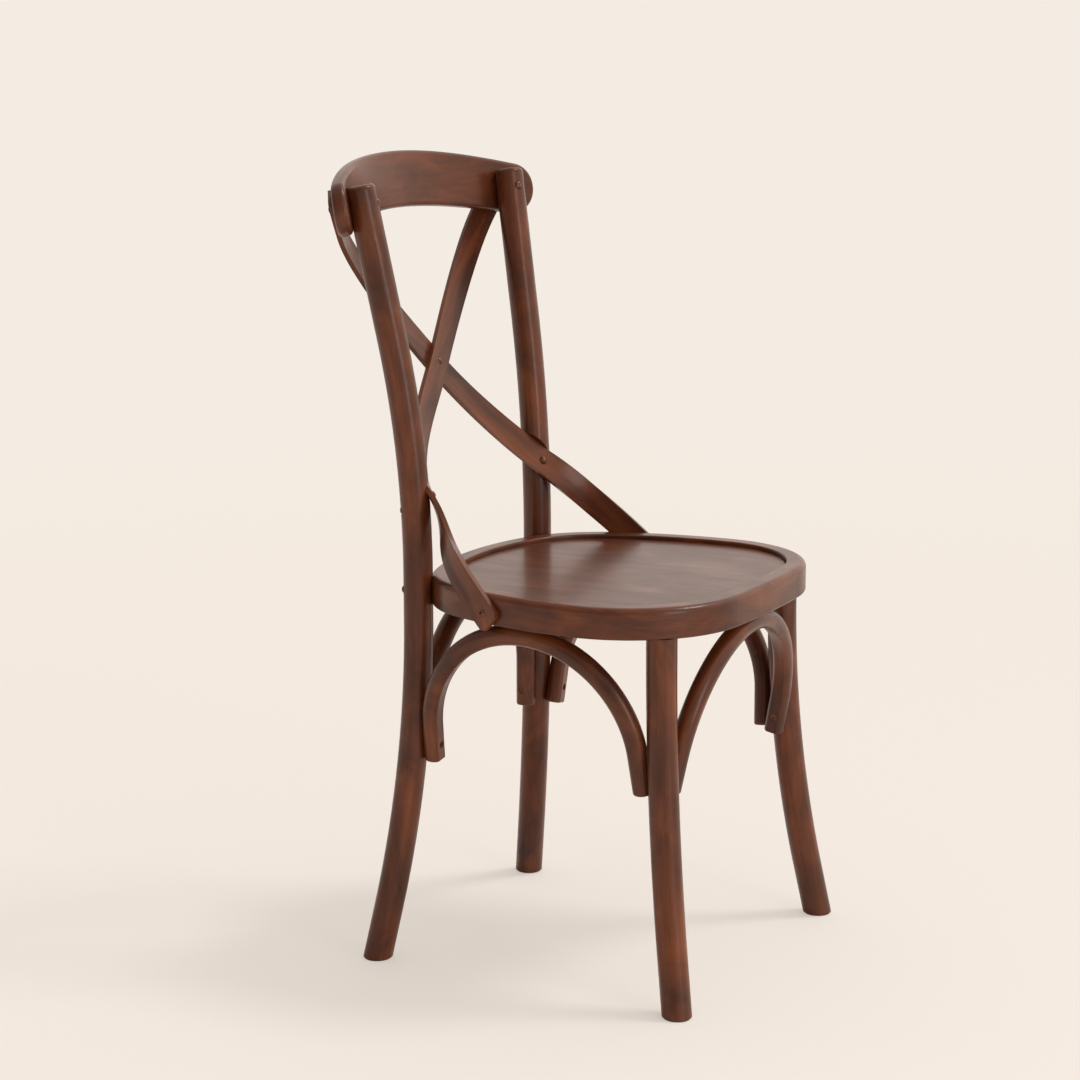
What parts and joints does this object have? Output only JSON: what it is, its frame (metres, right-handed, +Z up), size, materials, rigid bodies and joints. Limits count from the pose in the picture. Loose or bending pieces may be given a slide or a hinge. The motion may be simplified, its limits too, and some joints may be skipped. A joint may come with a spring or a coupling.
{
  "type": "dining chair",
  "caption": "Bentwood dining chair with crossed back straps, a curved crest rail, a panel seat in a round-cornered frame and arches between the legs.",
  "frame": {"origin": "on the floor, below the middle of the chair's bounding box", "axes": "+Z up, -Y the way the sitter faces, +X to the sitter's left"},
  "size_m": [0.4464, 0.5002, 0.9174],
  "materials": {
    "stained_beech": "walnut stain under satin lacquer",
    "seat_veneer": "walnut stain under satin lacquer",
    "bronzed_steel": "dark bronzed"
  },
  "bodies": {
    "root": {"left_rear_post": "stained_beech", "right_rear_post": "stained_beech", "left_front_leg": "stained_beech", "right_front_leg": "stained_beech", "seat_frame": "stained_beech", "crest_rail": "stained_beech", "front_cross_strap": "stained_beech", "rear_cross_strap": "stained_beech", "left_side_arch": "stained_beech", "right_side_arch": "stained_beech", "front_arch": "stained_beech", "rear_arch": "stained_beech", "seat_panel": "seat_veneer", "crest_bolts": "bronzed_steel", "crest_nuts": "bronzed_steel", "strap_bolts": "bronzed_steel", "strap_nuts": "bronzed_steel", "seat_bolts": "bronzed_steel", "seat_inserts": "bronzed_steel", "crossing_rivet": "bronzed_steel", "rivet_washer": "bronzed_steel", "strap_end_screws": "bronzed_steel", "arch_end_screws": "bronzed_steel", "arch_top_screws": "bronzed_steel", "panel_screws": "bronzed_steel"}
  },
  "joints": []
}
